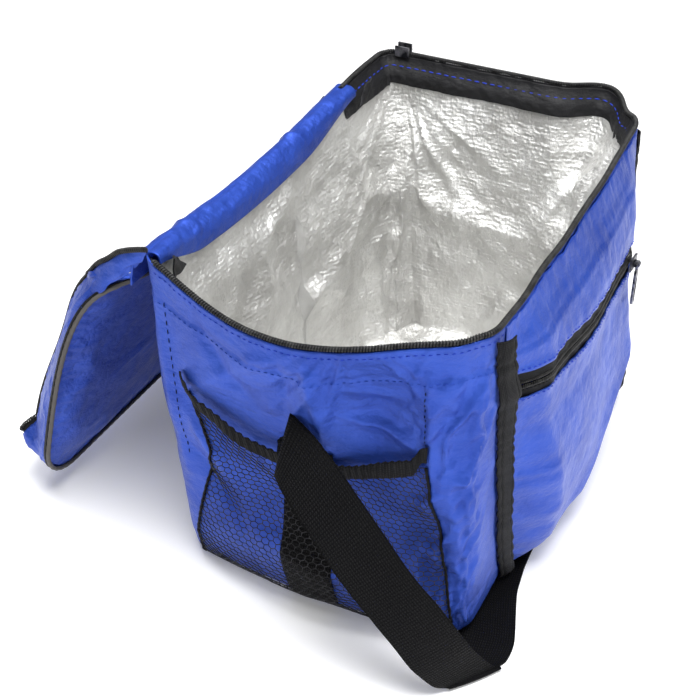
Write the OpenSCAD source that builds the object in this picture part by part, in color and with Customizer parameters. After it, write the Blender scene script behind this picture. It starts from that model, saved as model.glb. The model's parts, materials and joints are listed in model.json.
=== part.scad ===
// Insulated cooler bag with a zipped box lid, shown open: the lid is folded
// back over the rear wall and hangs behind it, and the carry strap lies in
// front of the bag. X runs along the long side (-X is the near end, +X the
// far end), -Y is the front with the zipped pocket, +Y the back with the lid
// hinge, and Z is up. The origin is the centre of the base's underside.

/* [Body] */
// Length of the body over its outer fabric
body_len = 352; // [260:2:450]
// Width of the body over its outer fabric
body_wid = 230; // [160:2:320]
// Height of the rim, where the two halves of the zipper meet
body_h = 265; // [180:1:360]
// Thickness of the outer fabric with its backing
fabric_t = 1.2; // [0.8:0.1:2]
// Thickness of the insulating foam
foam_t = 5; // [3:0.5:10]
// Thickness of the foil lining
foil_t = 0.8; // [0.6:0.1:1.2]
// Height of the black facing band inside the rim
facing_h = 27; // [15:1:40]

/* [Lid] */
// Height of the lid's side band
gusset_h = 38; // [25:1:60]
// Angle that the hinge band folds back from upright
band_open = 150; // [90:1:160]
// Angle that the lid folds back from square to the hinge band
lid_open = 96; // [60:1:110]
// Radius of the piping cord round the lid
piping_r = 1.6; // [1:0.1:2.5]
// Length of hinge band between the zipper's two ends
band_len = 276; // [200:2:320]

/* [Zippers] */
// Width of the coil across the teeth
coil_w = 2.8; // [2:0.1:4]
// Width of each side of the zipper tape
tape_w = 12; // [8:0.5:16]
// Height of the middle of the pocket zipper above the table
pocket_zip_z = 192; // [180:1:200]
// How steeply the pocket zipper runs downhill towards the far end
pocket_zip_tilt = 6; // [0:0.5:8]
// Rest position of the pocket slider along the front
pocket_slider_x = 75; // [40:1:120]
// Rest position of the main slider along the far end
main_slider_y = 98; // [60:1:104]

/* [Pockets] */
// Width of the front pocket between its two bindings
pocket_len = 279; // [200:1:300]
// How far the pocket zipper stands out from the front wall
pocket_stand = 16.5; // [12:0.5:20]
// How far the lower front pocket panel bulges beyond the zipper
pocket_bulge = 10; // [2:1:14]
// Width of the mesh pocket on each end
mesh_wid = 168; // [120:2:200]
// Height of the mesh, below its elastic edge
mesh_h = 146; // [100:1:170]
// How far the mesh stands off the end panel
mesh_depth = 14; // [8:1:16]

/* [Strap] */
// Width of the webbing
web_w = 38; // [25:1:50]
// Thickness of the webbing
web_t = 1.6; // [1.2:0.1:2.5]
// Height of the fold where the strap leaves the end panel
strap_z = 172; // [150:1:190]
// How far each side of the strap stands off the end panel
strap_off = 28; // [20:1:34]

/* [Hidden] */
hx = body_len/2;
hy = body_wid/2;
wall_top = body_h - 6;               // top edge of the outer fabric
foam_top = wall_top - facing_h;      // the foam and foil end here on three sides
lid_z = body_h + gusset_h + 2;       // the piping's centre when the lid is shut
axis1 = [hy + 3, body_h + 1];        // fold between body and hinge band (y, z)
axis2 = [hy + 3, lid_z];             // fold between hinge band and lid, shut
coil_z = body_h - 3.5;               // underside of the rim's coil
lid_coil_z = body_h + 1.7;           // underside of the lid's coil, shut
front_y = -hy;                       // outer face of the front wall
zip_y = front_y - pocket_stand;      // middle of the pocket zipper's coil
web_x = hx + strap_off;              // inner face of each side of the strap
run_in = hy + 4;                     // inner edge of the strap along the table
run_out = run_in + web_w;
$fn = 48;

blue = [0.16, 0.27, 0.78];
navy = [0.10, 0.17, 0.55];
black = [0.06, 0.06, 0.07];
silver = [0.78, 0.79, 0.80];
foam_white = [0.93, 0.93, 0.90];
grey = [0.32, 0.32, 0.33];
metal = [0.20, 0.20, 0.22];

// ---- helpers ----

// a box given by its lowest and highest corners
module block(lo, hi) {
    translate(lo) cube([hi[0] - lo[0], hi[1] - lo[1], hi[2] - lo[2]]);
}

// a strip that follows the near end, the front and the far end, between two
// distances in from the outer faces, from height z0 to z1, as far back as y1
module u_strip(d0, d1, z0, z1, y1) {
    difference() {
        block([-hx + d0, -hy + d0, z0], [hx - d0, y1, z1]);
        block([-hx + d1, -hy + d1, z0 - 1], [hx - d1, y1 + 1, z1 + 1]);
    }
}

// the hinge band's own place, folded back from upright
module place_band() {
    translate([0, axis1[0], axis1[1]]) rotate([-band_open, 0, 0])
        translate([0, -axis1[0], -axis1[1]]) children();
}

// the lid's own place: folded back on the band, and the band on the body
module place_lid() {
    place_band() translate([0, axis2[0], axis2[1]])
        rotate([-lid_open, 0, 0])
        translate([0, -axis2[0], -axis2[1]]) children();
}

// a round cord from one end to the other along X or Y
module cord_x(x0, x1, y, z, r) {
    translate([x0, y, z]) rotate([0, 90, 0]) cylinder(r = r, h = x1 - x0);
}
module cord_y(x, y0, y1, z, r) {
    translate([x, y0, z]) rotate([-90, 0, 0]) cylinder(r = r, h = y1 - y0);
}

// ---- outer fabric ----

module front_panel() color(blue)
    block([-hx, -hy, fabric_t], [hx, -hy + fabric_t, wall_top]);

module back_panel() color(blue)
    block([-hx, hy - fabric_t, fabric_t], [hx, hy, wall_top]);

module near_end_panel() color(blue)
    block([-hx, -hy + fabric_t, fabric_t],
        [-hx + fabric_t, hy - fabric_t, wall_top]);

module far_end_panel() color(blue) mirror([1, 0, 0])
    block([-hx, -hy + fabric_t, fabric_t],
        [-hx + fabric_t, hy - fabric_t, wall_top]);

module base_panel() color(blue)
    block([-hx, -hy, 0], [hx, hy, fabric_t]);

// ---- insulation ----

foam_x = hx - fabric_t;
foam_y = hy - fabric_t;
foam_z = fabric_t + foam_t;

module foam_base() color(foam_white)
    block([-foam_x, -foam_y, fabric_t], [foam_x, foam_y, foam_z]);

module foam_front() color(foam_white)
    block([-foam_x, -foam_y, foam_z], [foam_x, -foam_y + foam_t, foam_top]);

module foam_back() color(foam_white)
    block([-foam_x, foam_y - foam_t, foam_z], [foam_x, foam_y, wall_top - 1]);

module foam_near() color(foam_white)
    block([-foam_x, -foam_y + foam_t, foam_z],
        [-foam_x + foam_t, foam_y - foam_t, foam_top]);

module foam_far() color(foam_white) mirror([1, 0, 0])
    block([-foam_x, -foam_y + foam_t, foam_z],
        [-foam_x + foam_t, foam_y - foam_t, foam_top]);

foil_x = foam_x - foam_t;
foil_y = foam_y - foam_t;

module foil_liner() color(silver) {
    difference() {
        block([-foil_x, -foil_y, foam_z], [foil_x, foil_y, foam_top]);
        block([-foil_x + foil_t, -foil_y + foil_t, foam_z + foil_t],
            [foil_x - foil_t, foil_y - foil_t, foam_top + 1]);
    }
    // the lining runs up to the hinge on the back wall
    block([-foil_x + foil_t, foil_y - foil_t, foam_top - 1],
        [foil_x - foil_t, foil_y, wall_top - 1]);
}

// ---- rim ----

module rim_facing() color(black)
    u_strip(fabric_t + 1, fabric_t + foam_t + foil_t, foam_top, wall_top,
        foil_y - foil_t);

module rim_zip_tape() color(black)
    u_strip(fabric_t, fabric_t + 1, coil_z - tape_w - 2.5, coil_z, 104);

module rim_zip_coil() color(black)
    u_strip(-0.6, coil_w - 0.6, coil_z, coil_z + coil_w, 104);

// a folded end of black fabric that covers the zipper's end on the back wall
module end_tab() color(black)
    block([-hx + 7.2, foil_y - foil_t - 1.4, foam_top + 3],
        [-hx + 34, foil_y - foil_t - 0.1, wall_top - 1.5]);

module zip_end_tab_near() end_tab();
module zip_end_tab_far() mirror([1, 0, 0]) end_tab();

// a slider on the rim's coil: two cheeks joined by a neck between the halves
slide_z = coil_z + coil_w + 1.2;

module main_slider() color(metal) {
    difference() {
        block([hx + 1, main_slider_y - 6, slide_z - 6.4],
            [hx + 2.6, main_slider_y + 6, slide_z + 4.6]);
        // the cheek tapers towards its nose
        for (s = [-1, 1]) translate([hx + 1, main_slider_y - 6,
            slide_z + (s > 0 ? 4.6 : -6.4)]) rotate([s*24, 0, 0])
            translate([-1, -9, s > 0 ? 0 : -6]) cube([5, 12, 6]);
    }
    block([hx - 5, main_slider_y - 6, slide_z - 5],
        [hx - 3.6, main_slider_y + 6, slide_z + 3.6]);
    block([hx - 4.4, main_slider_y + 1, slide_z - 0.6],
        [hx + 1.8, main_slider_y + 5.5, slide_z + 0.6]);
    // bail that the pull hangs on
    for (s = [-1, 1]) block([hx + 2.5, main_slider_y + s*4 - 0.8,
        slide_z - 2.4], [hx + 5.2, main_slider_y + s*4 + 0.8, slide_z - 0.6]);
    cord_y(hx + 5, main_slider_y - 4.8, main_slider_y + 4.8,
        slide_z - 1.5, 0.9);
}

// a pull: an eye round the bail, and a long loop below it; its own frame has
// the eye on the origin with the loop hanging down along -Z, seen along Y
module pull_shape() {
    difference() {
        rotate([-90, 0, 0]) translate([0, 0, -1.5])
            cylinder(r = 2.4, h = 3);
        rotate([-90, 0, 0]) translate([0, 0, -2.5])
            cylinder(r = 1.35, h = 5);
    }
    difference() {
        union() {
            block([-0.9, -1.5, -8], [0.9, 1.5, -1.9]);
            block([-0.9, -3, -32], [0.9, 3, -7]);
            translate([-0.9, 0, -32]) rotate([0, 90, 0])
                cylinder(r = 3, h = 1.8);
            translate([-0.9, 0, -7]) rotate([0, 90, 0])
                cylinder(r = 3, h = 1.8);
        }
        block([-2, -1.3, -31.5], [2, 1.3, -13]);
        translate([-2, 0, -31.5]) rotate([0, 90, 0])
            cylinder(r = 1.3, h = 4);
        translate([-2, 0, -13]) rotate([0, 90, 0])
            cylinder(r = 1.3, h = 4);
        rotate([-90, 0, 0]) translate([0, 0, -2.5])
            cylinder(r = 1.9, h = 5);
    }
}

module main_pull() color(metal)
    translate([hx + 5, main_slider_y, slide_z - 1.5]) pull_shape();

// ---- front pocket ----

pocket_hx = pocket_len/2;
pan_out = zip_y - 1.9;               // outer face of the panels at the zipper

// black strip that binds the pocket's side edge
module binding() color(black)
    block([-pocket_hx - 12.5, front_y - 3, 4],
        [-pocket_hx - 0.4, front_y - 0.05, wall_top + 1]);
module binding_near() binding();
module binding_far() mirror([1, 0, 0]) binding();

// a cloth panel that follows an outline of [y, z] points, with its two side
// edges closed back to the wall
module pocket_cloth(pts) {
    n = len(pts);
    translate([-pocket_hx, 0, 0]) rotate([90, 0, 90])
        linear_extrude(pocket_len) polygon(concat(pts,
            [for (i = [n - 1:-1:0]) [pts[i][0] + fabric_t, pts[i][1]]]));
    for (x = [-pocket_hx, pocket_hx - fabric_t]) translate([x, 0, 0])
        rotate([90, 0, 90]) linear_extrude(fabric_t) polygon(concat(pts,
            [[front_y - 0.05, pts[n - 1][1]], [front_y - 0.05, pts[0][1]]]));
}

// outlines of the two panels: [share of the way out to the zipper, share of
// the bulge, height]
upper_z = [pocket_zip_z - 12, pocket_zip_z + 28, pocket_zip_z + 47, wall_top - 1];
upper_f = [1, 1, 0.66, 0.08];
function upper_pt(i) =
    [front_y + (pan_out - front_y)*upper_f[i], upper_z[i]];

lower_z = [9, 34, 70, 106, 138, 156, pocket_zip_z + 12];
lower_f = [0.4, 1, 1, 1, 1, 1, 1];
lower_b = [0, 0.3, 0.95, 1, 0.46, 0.04, 0];
function lower_pt(i) = [front_y + (pan_out - front_y)*lower_f[i]
    - pocket_bulge*lower_b[i], lower_z[i]];

// the pocket zipper's own frame: level, before it is tilted downhill
module place_zip() {
    translate([0, 0, pocket_zip_z]) rotate([0, pocket_zip_tilt, 0])
        translate([0, 0, -pocket_zip_z]) children();
}

// the slit between the panels, or all that lies above or below its middle
module slit_cut(z0, z1) place_zip()
    block([-pocket_len, zip_y - 60, pocket_zip_z + z0],
        [pocket_len, front_y + 2, pocket_zip_z + z1]);

module pocket_upper_panel() color(blue) difference() {
    pocket_cloth([for (i = [0:3]) upper_pt(i)]);
    slit_cut(-90, 9);
}

module pocket_lower_panel() color(blue) {
    difference() {
        pocket_cloth([for (i = [0:6]) lower_pt(i)]);
        slit_cut(-9, 90);
    }
    // turned in at the base seam
    block([-pocket_hx, lower_pt(0)[0] + 0.4, lower_z[0]],
        [pocket_hx, front_y - 0.05, lower_z[0] + 1.2]);
}

// the two halves of the pocket zipper, meeting at a narrow slit
module pocket_tape(s) color(black) place_zip()
    block([-pocket_hx + 2, zip_y - 0.5, s > 0 ? pocket_zip_z + 3.4
            : pocket_zip_z - 3.4 - tape_w + 1],
        [pocket_hx - 2, zip_y + 0.5, s > 0 ? pocket_zip_z + 3.4 + tape_w - 1
            : pocket_zip_z - 3.4]);
module pocket_coil(s) color(black) place_zip()
    block([-pocket_hx + 2, zip_y - 1.3, s > 0 ? pocket_zip_z + 0.8
            : pocket_zip_z - 3.4],
        [pocket_hx - 2, zip_y + 1.3, s > 0 ? pocket_zip_z + 3.4
            : pocket_zip_z - 0.8]);

module pocket_tape_upper() pocket_tape(1);
module pocket_tape_lower() pocket_tape(-1);
module pocket_coil_upper() pocket_coil(1);
module pocket_coil_lower() pocket_coil(-1);

module pocket_slider() color(metal) place_zip() {
    difference() {
        block([pocket_slider_x - 7, zip_y - 3.6, pocket_zip_z - 5],
            [pocket_slider_x + 7, zip_y - 2, pocket_zip_z + 5]);
        for (s = [-1, 1]) translate([pocket_slider_x + 7, zip_y - 3,
            pocket_zip_z + s*5]) rotate([0, s*22, 0])
            translate([-3, -3, s > 0 ? 0 : -6]) cube([12, 6, 6]);
    }
    block([pocket_slider_x - 7, zip_y + 1.8, pocket_zip_z - 4],
        [pocket_slider_x + 5, zip_y + 2.9, pocket_zip_z + 4]);
    block([pocket_slider_x + 1, zip_y - 2.4, pocket_zip_z - 0.4],
        [pocket_slider_x + 4, zip_y + 2, pocket_zip_z + 0.4]);
    for (s = [-1, 1]) block([pocket_slider_x + s*4 - 0.8, zip_y - 6.2,
        pocket_zip_z - 1], [pocket_slider_x + s*4 + 0.8, zip_y - 3.5,
        pocket_zip_z + 0.8]);
    cord_x(pocket_slider_x - 4.8, pocket_slider_x + 4.8, zip_y - 6,
        pocket_zip_z, 0.9);
}

module pocket_pull() color(metal)
    translate([pocket_slider_x*cos(pocket_zip_tilt), zip_y - 6,
        pocket_zip_z - pocket_slider_x*sin(pocket_zip_tilt)])
        rotate([0, 0, -90]) pull_shape();

// ---- end pockets ----

mesh_out = hx + mesh_depth;
mesh_hy = mesh_wid/2;

module mesh_pocket() color(black) {
    block([-mesh_out, -mesh_hy, 2], [-mesh_out + 0.8, mesh_hy, mesh_h]);
    for (s = [-1, 1]) block(
        [-mesh_out + 0.7, s > 0 ? mesh_hy - 0.8 : -mesh_hy, 2],
        [-hx - 0.05, s > 0 ? mesh_hy : -mesh_hy + 0.8, mesh_h]);
    block([-mesh_out + 0.7, -mesh_hy, 2], [-hx - 0.05, mesh_hy, 2.8]);
}
module mesh_pocket_near() mesh_pocket();
module mesh_pocket_far() mirror([1, 0, 0]) mesh_pocket();

// wide elastic that gathers the mouth of the pocket
module mesh_trim() color(black) {
    block([-mesh_out - 0.4, -mesh_hy, mesh_h],
        [-mesh_out + 1.2, mesh_hy, mesh_h + 12]);
    for (s = [-1, 1]) block(
        [-mesh_out + 1.1, s > 0 ? mesh_hy - 1.6 : -mesh_hy, mesh_h],
        [-hx - 0.05, s > 0 ? mesh_hy : -mesh_hy + 1.6, mesh_h + 12]);
}
module mesh_trim_near() mesh_trim();
module mesh_trim_far() mirror([1, 0, 0]) mesh_trim();

// ---- strap ----

// webbing sewn up the middle of each end panel, behind the mesh
module strap_anchor() color(black)
    block([-hx - web_t, -web_w/2, 3.2], [-hx - 0.05, web_w/2, strap_z - 4]);
module strap_anchor_near() strap_anchor();
module strap_anchor_far() mirror([1, 0, 0]) strap_anchor();

// one side of the free strap, as it lies from the fold down to the table
run_mid = (run_in + run_out)/2;
leg_dir = [-run_mid, 12 - strap_z]/norm([run_mid, strap_z - 12]);
leg_nrm = [-leg_dir[1], leg_dir[0]]*web_w/2;
function leg_at(p, y) = [y, p[1] + (y - p[0])/leg_dir[0]*leg_dir[1]];

module strap_side() {
    top = [0, strap_z];
    translate([-web_x - web_t, 0, 0]) rotate([90, 0, 90])
        linear_extrude(web_t) polygon([top + leg_nrm, top - leg_nrm,
            leg_at(top - leg_nrm, -run_out), [-run_out, 0.6],
            [-run_in, 0.6], leg_at(top + leg_nrm, -run_in)]);
    // the doubled roll where the webbing turns over at the end panel
    cord_x(-web_x - 0.2, -hx - 2.4, 0, strap_z, 2.2);
}

module shoulder_strap() color(black) {
    strap_side();
    mirror([1, 0, 0]) strap_side();
    block([-web_x - web_t, -run_out, 0.6], [web_x + web_t, -run_in,
        0.6 + web_t]);
}

// ---- lid, drawn shut and then put in place ----

module hinge_band() color(blue) place_band() {
    block([-band_len/2, axis1[0] - 0.6, axis1[1]],
        [band_len/2, axis1[0] + 0.6, axis2[1] - piping_r - 0.5]);
    cord_x(-band_len/2, band_len/2, axis1[0], axis1[1], 1.5);
}

module lid_top_panel() color(blue) place_lid()
    block([-hx + piping_r, -hy + piping_r, lid_z - 0.6],
        [hx - piping_r, axis2[0] - piping_r, lid_z + 0.6]);

module lid_foam() color(foam_white) place_lid()
    block([-hx + 3.4, -hy + 3.4, lid_z - 0.6 - foam_t],
        [hx - 3.4, hy - 4, lid_z - 0.6]);

module lid_foil() color(silver) place_lid()
    block([-hx + 3.6, -hy + 3.6, lid_z - 0.6 - foam_t - foil_t],
        [hx - 3.6, hy - 4.2, lid_z - 0.6 - foam_t]);

module lid_gusset() color(blue) place_lid()
    u_strip(0, fabric_t, lid_coil_z + coil_w + 1, lid_z - piping_r, 100);

module lid_zip_tape() color(black) place_lid()
    u_strip(fabric_t, fabric_t + 1, lid_coil_z + coil_w,
        lid_coil_z + coil_w + tape_w, 100);

module lid_zip_coil() color(black) place_lid()
    u_strip(-0.6, coil_w - 0.6, lid_coil_z, lid_coil_z + coil_w, 100);

module lid_piping() color(grey) place_lid() {
    cord_x(-hx, hx, axis2[0], lid_z, piping_r);
    cord_x(-hx, hx, -hy, lid_z, piping_r);
    for (s = [-1, 1]) cord_y(s*hx, -hy, axis2[0], lid_z, piping_r);
    for (s = [-1, 1], y = [-hy, axis2[0]]) translate([s*hx, y, lid_z])
        sphere(r = piping_r);
}

front_panel();
back_panel();
near_end_panel();
far_end_panel();
base_panel();
foam_front();
foam_back();
foam_near();
foam_far();
foam_base();
foil_liner();
rim_facing();
rim_zip_tape();
rim_zip_coil();
zip_end_tab_near();
zip_end_tab_far();
main_slider();
main_pull();
binding_near();
binding_far();
pocket_upper_panel();
pocket_lower_panel();
pocket_tape_upper();
pocket_tape_lower();
pocket_coil_upper();
pocket_coil_lower();
pocket_slider();
pocket_pull();
mesh_pocket_near();
mesh_pocket_far();
mesh_trim_near();
mesh_trim_far();
strap_anchor_near();
strap_anchor_far();
shoulder_strap();
hinge_band();
lid_top_panel();
lid_foam();
lid_foil();
lid_gusset();
lid_piping();
lid_zip_tape();
lid_zip_coil();
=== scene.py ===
"""Looks of the insulated cooler bag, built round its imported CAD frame.

The bag's soft pieces are written in "wall" coordinates: s runs round the body
from the middle of the back wall by the near end, the front and the far end, z
runs up the wall, and out is the distance outwards from the outer fabric. The
lid's pieces are drawn shut, and then folded back as the CAD does. Lengths are
in metres.
"""

import json
import math

import bpy
import numpy as np
from numpy import clip, concatenate, cos, exp, linspace, pi, sin, stack
from mathutils import Matrix, Vector


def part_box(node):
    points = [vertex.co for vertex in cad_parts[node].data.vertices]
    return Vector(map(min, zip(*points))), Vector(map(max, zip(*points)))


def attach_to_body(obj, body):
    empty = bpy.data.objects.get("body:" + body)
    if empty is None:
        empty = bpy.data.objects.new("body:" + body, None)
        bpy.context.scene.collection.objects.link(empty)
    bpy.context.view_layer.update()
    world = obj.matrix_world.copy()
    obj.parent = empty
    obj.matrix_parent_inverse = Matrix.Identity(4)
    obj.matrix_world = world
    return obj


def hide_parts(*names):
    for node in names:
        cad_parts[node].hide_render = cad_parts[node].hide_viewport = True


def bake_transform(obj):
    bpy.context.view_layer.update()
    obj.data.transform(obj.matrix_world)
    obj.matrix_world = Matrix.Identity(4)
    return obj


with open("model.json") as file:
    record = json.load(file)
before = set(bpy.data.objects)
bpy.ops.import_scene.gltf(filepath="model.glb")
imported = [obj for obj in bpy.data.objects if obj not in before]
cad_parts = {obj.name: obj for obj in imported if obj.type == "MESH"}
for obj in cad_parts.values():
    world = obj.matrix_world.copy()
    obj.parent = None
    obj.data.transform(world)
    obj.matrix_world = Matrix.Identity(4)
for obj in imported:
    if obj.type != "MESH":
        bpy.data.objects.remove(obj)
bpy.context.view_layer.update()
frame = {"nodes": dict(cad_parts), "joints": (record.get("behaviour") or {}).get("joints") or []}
MM = 0.001


# ---- camera, light and floor ----

def aim(obj, at, azimuth, elevation, distance):
    """Puts obj at that bearing from a point, looking at it."""
    a, e = math.radians(azimuth), math.radians(elevation)
    back = Vector((math.sin(a)*math.cos(e), -math.cos(a)*math.cos(e), math.sin(e)))
    obj.location = Vector(at) + back*distance
    obj.rotation_mode = "QUATERNION"
    obj.rotation_quaternion = back.to_track_quat("Z", "Y")


def make_camera():
    cam = bpy.data.objects.new("camera", bpy.data.cameras.new("camera"))
    bpy.context.scene.collection.objects.link(cam)
    cam.data.sensor_width, cam.data.lens = 36, 68.9
    aim(cam, (-0.070, 0.024, 0.148), -63.4, 36, 0.95)
    bpy.context.scene.camera = cam


def softbox(name, at, azimuth, elevation, distance, size, power):
    light = bpy.data.objects.new(name, bpy.data.lights.new(name, "AREA"))
    bpy.context.scene.collection.objects.link(light)
    light.data.shape = "RECTANGLE"
    light.data.size, light.data.size_y = size
    light.data.energy = power
    aim(light, at, azimuth, elevation, distance)


make_camera()
softbox("key_light", (0, 0, 0.15), -50, 74, 1.45, (0.9, 0.8), 36)
softbox("fill_light", (0, 0, 0.15), -5, 26, 1.8, (1.2, 0.5), 5)
softbox("top_light", (0, 0, 0.2), 170, 62, 1.6, (0.9, 0.5), 8)


# ---- numbers from the frame ----

HX = -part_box("near_end_panel")[0][0]        # half the body's length and width
HY = -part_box("front_panel")[0][1]
WALL_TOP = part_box("near_end_panel")[1][2]
COIL_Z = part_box("rim_zip_coil")[0][2]
COIL_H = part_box("rim_zip_coil")[1][2] - COIL_Z
FACING_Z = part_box("rim_facing")[0][2]
TRACK_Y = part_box("rim_zip_coil")[1][1]      # the zipper's ends on both sides
FOIL_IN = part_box("foil_liner")[0][0] + HX   # how far the lining is inside the wall
LX, LY = 2*HX, 2*HY
ROUND = 2*(LX + LY)
S_CORNER = np.array([HX, HX + LY, HX + LY + LX, HX + 2*LY + LX])
STARTS, LENGTHS = [-HX, *S_CORNER[:3]], [LX, LY, LX, LY]    # of the four sides
RIM_FAR_END = 0.097                          # where the rim's zipper stops, from ROUND
JOINTS = {j["name"]: j for j in frame["joints"]}


# ---- noise and small curves ----

def smooth(a, b, x):
    t = clip((x - a)/(b - a), 0, 1)
    return t*t*(3 - 2*t)


def bell(x, middle, width):
    return exp(-((x - middle)/width)**2)


def hump(x):
    """0 at 0 and 1, and 1 half way."""
    return sin(pi*x)


def unit(v):
    return v/np.linalg.norm(v, axis=-1, keepdims=True)


def along(line):
    """The distance of each point of a line from its start."""
    return concatenate([[0], np.cumsum(np.linalg.norm(np.diff(line, axis=0), axis=1))])


def pair(u, v):
    return stack(np.broadcast_arrays(u, v), -1)


def noise(x, y, seed):
    """Smooth value noise from -1 to 1, one bump in each unit square."""
    r = np.random.default_rng(seed).uniform(-1, 1, (64, 64))
    x, y = np.broadcast_arrays(np.asarray(x, float), np.asarray(y, float))
    i, j = np.floor(x).astype(int), np.floor(y).astype(int)
    u, v = x - i, y - j
    u, v = u*u*u*(u*(6*u - 15) + 10), v*v*v*(v*(6*v - 15) + 10)
    at = lambda di, dj: r[(i + di) % 64, (j + dj) % 64]
    return ((at(0, 0)*(1 - u) + at(1, 0)*u)*(1 - v)
            + (at(0, 1)*(1 - u) + at(1, 1)*u)*v)


def fbm(x, y, seed, octaves=4):
    return sum(noise(x*2**k, y*2**k, seed + k)*0.5**k for k in range(octaves))


def ridges(x, y, seed):
    """Sharp folds: 1 along their crests, falling to 0."""
    return 1 - np.minimum(1, 2.2*np.abs(fbm(x, y, seed, 3)))


def crease(s, z, start, end, width, height):
    """A fold along the straight line between two points, fading at both ends."""
    a, b = np.array(start), np.array(end)
    d = b - a
    t = ((s - a[0])*d[0] + (z - a[1])*d[1])/(d @ d)
    tc = clip(t, 0, 1)
    far = np.hypot(s - a[0] - tc*d[0], z - a[1] - tc*d[1])
    return height*exp(-np.abs(far/width)**1.4)*(0.35 + 0.65*sin(pi*tc))


# ---- the shape of the body ----

def lerp_corners(z):
    """The four corners' places at height z, and how far each is rounded."""
    g = clip(z/WALL_TOP, 0, 1.05)[..., None]**0.6
    foot = np.array([[-163, 109], [-163, -109], [165, -108], [164, 109]])*MM
    rim = np.array([[-179, 117], [-174, -115], [177, -107], [176.2, 116.5]])*MM
    rounding = [0.022 - 0.010*g[..., 0], 0.026 + 0*z, 0.030 + 0.020*g[..., 0],
                0.022 - 0.006*g[..., 0]]
    return [f + (r - f)*g for f, r in zip(foot, rim)], rounding


def outline(s, z, soft=0.0):
    """The body's plan at height z, before it bows and creases."""
    c, w = lerp_corners(z)
    s = (s + HX) % ROUND - HX
    p = np.zeros(s.shape + (2,))
    for k, (start, length) in enumerate(zip(STARTS, LENGTHS)):
        a, b = c[k - 1], c[k]
        on = (s >= start) & (s <= start + length + 1e-9)
        p = np.where(on[..., None], a + (b - a)*((s - start)/length)[..., None], p)
    for k in range(4):
        t = (s - S_CORNER[k] + ROUND/2) % ROUND - ROUND/2
        d_in = (c[k] - c[k - 1])/LENGTHS[k]
        d_out = (c[(k + 1) % 4] - c[k])/LENGTHS[(k + 1) % 4]
        wk = w[k] + soft
        near = np.abs(t) < wk
        q = (c[k] - d_in*((wk - t)**2/(4*wk))[..., None]
             + d_out*((wk + t)**2/(4*wk))[..., None])
        p = np.where(near[..., None], q, p)
    return p


def side(s, k):
    """0 to 1 along side k (0 back, 1 near, 2 front, 3 far), clipped outside it."""
    s = (s + HX) % ROUND - HX
    return clip((s - STARTS[k])/LENGTHS[k], 0, 1)


def on_track(s):
    """1 along the stretch of rim that the main slider runs on."""
    a = side(s, 3)
    return smooth(0.30, 0.40, a)*(1 - smooth(0.985, 1.0, a))


def bow(s, z):
    """How far the full, soft walls bow outwards."""
    rim = smooth(0.10, 0.262, z)
    near, front, far = side(s, 1), side(s, 2), side(s, 3)
    d = (0.004 + 0.018*rim)*hump(near)**1.1
    d = d + 0.011*bell(z, 0.040, 0.034)*hump(near)**0.7
    d = d + 0.004*hump(front)*rim
    d = d + 0.022*bell(far, 0.17, 0.095)*rim*hump(far)**0.3
    d = d + 0.019*exp(-((s - s_front(0.150))/0.022)**2
                         - ((z - 0.034)/0.034)**2)
    loose = rim*(1 - on_track(s))*0.0012
    return d + loose*noise(s*24, 0.5, 3)


def back_sag(s):
    """0 to 1: how slack the hinge side of the rim is."""
    return hump(clip(side(s, 0)*1.06 - 0.06, 0, 1)**1.25)**1.4


def sag(s, z):
    """How far the unsupported rim sinks."""
    rim = smooth(0.13, 0.262, z)
    d = 0.021*hump(side(s, 1)**0.80)**1.7 + 0.0075*back_sag(s)
    d = d + 0.006*exp(-((s - S_CORNER[2] - 0.004)/0.045)**2)
    d = d + 0.0012*(1 - on_track(s))*noise(s*30, 3.5, 5)
    return d*rim


def cloth_folds(s, z):
    """Wrinkles of the outer fabric, in metres outwards."""
    under_rim = np.maximum(0.0, WALL_TOP + 0.001 - z)
    d = 0.0007*noise(s*210, z*34, 11)*(
        exp(-under_rim/0.010) + 0.5*bell(under_rim, 0.022, 0.006))
    d = d - 0.0009*bell(under_rim, 0.024, 0.0022)
    y = HY - (s - HX)
    big = 0.0013*fbm(s*14, z*10, 21) + 0.0008*(ridges(s*26, z*18, 31) - 0.4)
    for fold in NEAR_FOLDS:
        big = big + crease(y, z, *fold)*(np.abs(y) < 0.16)
    # the loose strip between the end pocket and the front binding
    strip = smooth(0.345, 0.385, s)*(1 - smooth(0.405, 0.440, s))
    big = big + strip*(0.0042*(ridges(s*30 + z*6, z*24 - s*26, 41) - 0.35)
                       + 0.0026*noise(s*50, z*14, 45))
    # wrinkles that fan out from the rim where it turns
    fan = np.arctan2(z - 0.285, s - 0.330)
    big = big + 0.0034*bell(s, 0.330, 0.060)*smooth(0.15, 0.20, z)*(
        ridges(fan*3.2, z*4, 47) - 0.35)
    return (d + big*smooth(WALL_TOP + 0.004, WALL_TOP - 0.022, z))*smooth(0.0, 0.02, z)


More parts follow.
